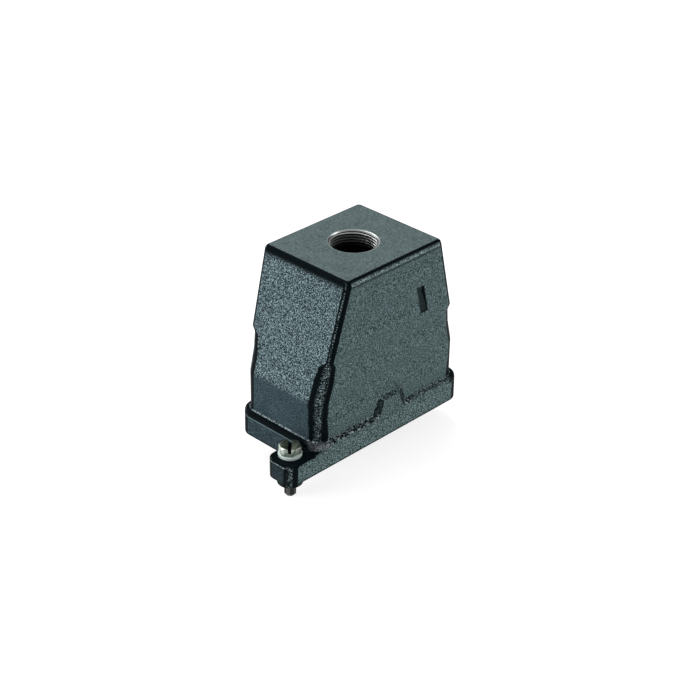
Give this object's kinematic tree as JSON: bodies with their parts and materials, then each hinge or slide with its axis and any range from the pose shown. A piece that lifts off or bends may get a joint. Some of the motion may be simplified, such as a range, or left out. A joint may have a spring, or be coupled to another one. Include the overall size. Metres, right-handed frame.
{
  "type": "heavy-duty connector hood",
  "caption": "Rectangular die-cast connector hood with sloping ends, threaded cable entry in the top and captive locking screws in ears at two diagonal corners of its flange.",
  "frame": {"origin": "centre of the mating plane under the flange, midway between the two locking screws", "axes": "+X along the long side, +Z from the mating plane up to the cable entry, -Y the long face with the slanted mark recess"},
  "size_m": [0.1426, 0.0588, 0.1119],
  "materials": {
    "black_casting": "black powder coat, coarse on the sides and fine on the top",
    "zinc_steel": "bright zinc plating",
    "spring_steel": "dark phosphated spring steel",
    "seal_rubber": "matte black rubber"
  },
  "bodies": {
    "hood": {"hood_shell": "black_casting", "rim_seal": "seal_rubber", "washer_left": "zinc_steel", "washer_right": "zinc_steel"},
    "clip_left": {"retaining_clip_left": "spring_steel"},
    "screw_left": {"locking_screw_left": "zinc_steel"},
    "clip_right": {"retaining_clip_right": "spring_steel"},
    "screw_right": {"locking_screw_right": "zinc_steel"}
  },
  "joints": [
    {"name": "screw_left_lift", "type": "slide", "parent": "hood", "child": "clip_left", "axis": [0, 0, 1], "range_m": [0, 0.0039]},
    {"name": "screw_left_turn", "type": "hinge", "parent": "clip_left", "child": "screw_left", "pos_m": [-0.0614, -0.018, 0.0121], "axis": [0, 0, 1], "continuous": true},
    {"name": "screw_right_lift", "type": "slide", "parent": "hood", "child": "clip_right", "axis": [0, 0, 1], "range_m": [0, 0.0039]},
    {"name": "screw_right_turn", "type": "hinge", "parent": "clip_right", "child": "screw_right", "pos_m": [0.0614, 0.018, 0.0121], "axis": [0, 0, 1], "continuous": true}
  ]
}
